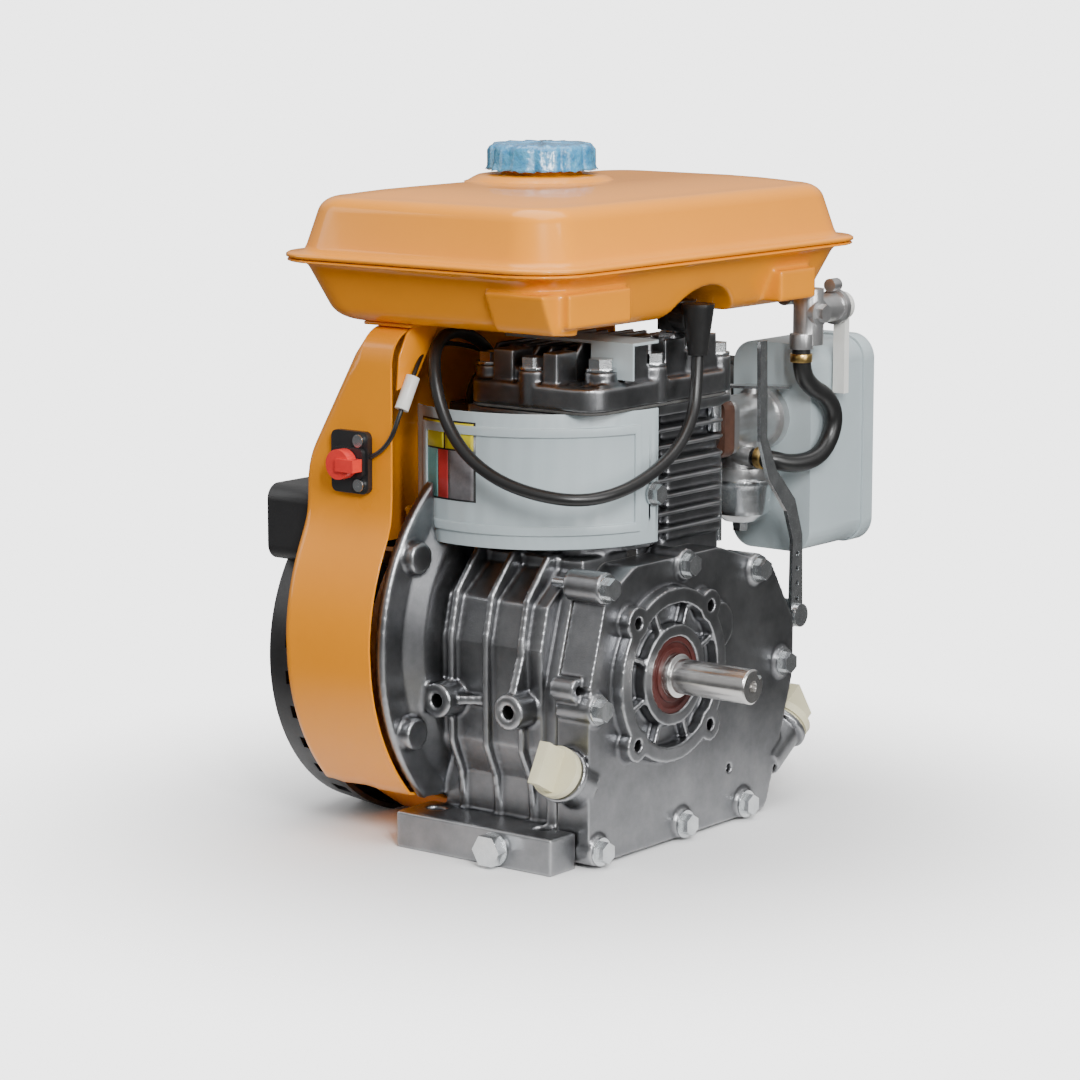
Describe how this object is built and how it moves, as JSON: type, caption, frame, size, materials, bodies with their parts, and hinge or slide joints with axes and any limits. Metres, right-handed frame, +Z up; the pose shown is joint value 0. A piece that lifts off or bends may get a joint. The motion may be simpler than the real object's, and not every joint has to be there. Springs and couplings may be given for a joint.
{
  "type": "small gasoline engine",
  "caption": "Small horizontal-shaft side-valve gasoline engine with pressed tank, recoil starter, blower housing, finned cylinder, carburettor and keyed output shaft.",
  "frame": {"origin": "centre of the four base slots, on the plane the base stands on", "axes": "+Z up, +X along the crank axis out of the power take-off shaft, +Y towards the carburettor and air cleaner"},
  "size_m": [0.288, 0.3595, 0.3963],
  "materials": {
    "cast_aluminium": "as-cast satin",
    "machined_steel": "ground",
    "zinc_steel": "zinc plated",
    "iron": "machined cast iron",
    "orange_paint": "gloss enamel",
    "grey_paint": "semi-gloss enamel",
    "black_paint": "satin heat paint",
    "black_plastic": "moulded satin",
    "cream_plastic": "moulded",
    "red_plastic": "moulded gloss",
    "clear_plastic": "translucent",
    "phenolic": "pressed",
    "seal_rubber": "moulded",
    "black_rubber": "moulded satin",
    "gasket_paper": "fibre",
    "filter_foam": "open foam",
    "film_cap": "chrome plate",
    "winding": "potted"
  },
  "bodies": {
    "engine": {"pto_bearing": "machined_steel", "flywheel_bearing": "machined_steel", "oil_seal": "seal_rubber", "crankcase": "cast_aluminium", "cylinder_liner": "iron", "cover_gasket": "gasket_paper", "crankcase_cover": "cast_aluminium", "cover_bolts": "zinc_steel", "drain_plug": "zinc_steel", "cylinder_head": "cast_aluminium", "head_gasket": "gasket_paper", "head_bolts": "zinc_steel", "spark_plug": "zinc_steel", "plug_cap": "black_rubber", "tappet_cover": "zinc_steel", "blower_housing": "orange_paint", "baffle_panel": "grey_paint", "head_shroud": "grey_paint", "ignition_coil": "winding", "recoil_case": "black_paint", "tank_upper_shell": "orange_paint", "tank_lower_shell": "orange_paint", "insulator_block": "phenolic", "carburetor_body": "cast_aluminium", "float_bowl": "grey_paint", "air_cleaner_case": "grey_paint", "air_cleaner_lid": "grey_paint", "filter_element": "filter_foam", "muffler": "black_paint", "muffler_shield": "zinc_steel", "fuel_cock_body": "cast_aluminium", "fuel_hose": "black_rubber", "hose_clamps": "zinc_steel", "spark_lead": "black_rubber", "stop_wire": "black_rubber", "wire_connector": "clear_plastic", "switch_plate": "black_plastic", "outer_screws": "zinc_steel"},
    "crank": {"crankshaft": "machined_steel", "crank_gear": "machined_steel", "flywheel": "cast_aluminium", "starter_cup": "zinc_steel"},
    "camshaft": {"camshaft": "iron"},
    "governor": {"governor_gear": "machined_steel"},
    "piston": {"piston": "cast_aluminium", "wrist_pin": "machined_steel", "connecting_rod": "cast_aluminium", "crank_pin": "machined_steel"},
    "intake_valve": {"intake_valve": "machined_steel"},
    "exhaust_valve": {"exhaust_valve": "machined_steel"},
    "starter_reel": {"starter_reel": "black_plastic"},
    "starter_grip": {"starter_grip": "black_plastic"},
    "fuel_cap": {"fuel_cap": "film_cap"},
    "oil_cap_near": {"oil_cap_near": "cream_plastic"},
    "oil_cap_far": {"oil_cap_far": "cream_plastic"},
    "throttle_lever": {"throttle_lever": "zinc_steel"},
    "choke_lever": {"choke_lever": "zinc_steel"},
    "fuel_cock_lever": {"fuel_cock_lever": "clear_plastic"},
    "switch_knob": {"switch_knob": "red_plastic"},
    "governor_lever": {"governor_lever": "zinc_steel"}
  },
  "joints": [
    {"name": "crank_spin", "type": "hinge", "parent": "engine", "child": "crank", "pos_m": [0.075, -0.006, 0.1], "axis": [1, 0, 0], "continuous": true},
    {"name": "cam_spin", "type": "hinge", "parent": "engine", "child": "camshaft", "pos_m": [0.075, 0.044, 0.12], "axis": [1, 0, 0], "continuous": true},
    {"name": "governor_spin", "type": "hinge", "parent": "engine", "child": "governor", "pos_m": [0.075, 0.09, 0.096], "axis": [1, 0, 0], "continuous": true},
    {"name": "piston_slide", "type": "slide", "parent": "engine", "child": "piston", "axis": [0, 0, 1], "range_m": [0, 0.052]},
    {"name": "intake_lift", "type": "slide", "parent": "engine", "child": "intake_valve", "axis": [0, 0, 1], "range_m": [0, 0.005], "stiffness_N_per_m": 2000, "springref_m": -0.01},
    {"name": "exhaust_lift", "type": "slide", "parent": "engine", "child": "exhaust_valve", "axis": [0, 0, 1], "range_m": [0, 0.005], "stiffness_N_per_m": 2000, "springref_m": -0.01},
    {"name": "starter_pull", "type": "slide", "parent": "engine", "child": "starter_grip", "axis": [0, 1, 0], "range_m": [0, 0.55], "stiffness_N_per_m": 20, "springref_m": -0.3},
    {"name": "reel_spin", "type": "hinge", "parent": "engine", "child": "starter_reel", "pos_m": [0.075, -0.006, 0.1], "axis": [1, 0, 0], "continuous": true},
    {"name": "fuel_cap_turn", "type": "hinge", "parent": "engine", "child": "fuel_cap", "pos_m": [-0.044, 0.024, 0.38], "axis": [0, 0, 1], "range_deg": [0, 90]},
    {"name": "near_oil_cap_turn", "type": "hinge", "parent": "engine", "child": "oil_cap_near", "pos_m": [0.056, -0.07, 0.046], "axis": [0, -0.8829, 0.4695], "range_deg": [0, 180]},
    {"name": "far_oil_cap_turn", "type": "hinge", "parent": "engine", "child": "oil_cap_far", "pos_m": [0.056, 0.106, 0.028], "axis": [0, 0.829, 0.5592], "range_deg": [0, 180]},
    {"name": "throttle_turn", "type": "hinge", "parent": "engine", "child": "throttle_lever", "pos_m": [0.025, 0.109, 0.226], "axis": [0, 0, -1], "range_deg": [0, 70]},
    {"name": "choke_turn", "type": "hinge", "parent": "engine", "child": "choke_lever", "pos_m": [0.025, 0.139, 0.226], "axis": [0, 0, -1], "range_deg": [0, 70]},
    {"name": "fuel_cock_turn", "type": "hinge", "parent": "engine", "child": "fuel_cock_lever", "pos_m": [0.063, 0.175, 0.293], "axis": [0, -1, 0], "range_deg": [0, 90]},
    {"name": "stop_switch_turn", "type": "hinge", "parent": "engine", "child": "switch_knob", "pos_m": [-0.073, -0.118, 0.22], "axis": [0, 1, 0], "range_deg": [0, 60]},
    {"name": "governor_lever_swing", "type": "hinge", "parent": "engine", "child": "governor_lever", "pos_m": [0.061, 0.134, 0.112], "axis": [1, 0, 0], "range_deg": [-5, 5]}
  ],
  "couplings": [
    {"joint": "cam_spin", "follows": "crank_spin", "ratio": -0.5},
    {"joint": "governor_spin", "follows": "crank_spin", "ratio": 1.1111},
    {"joint": "reel_spin", "follows": "starter_pull", "rad_per_m": 29.4}
  ]
}
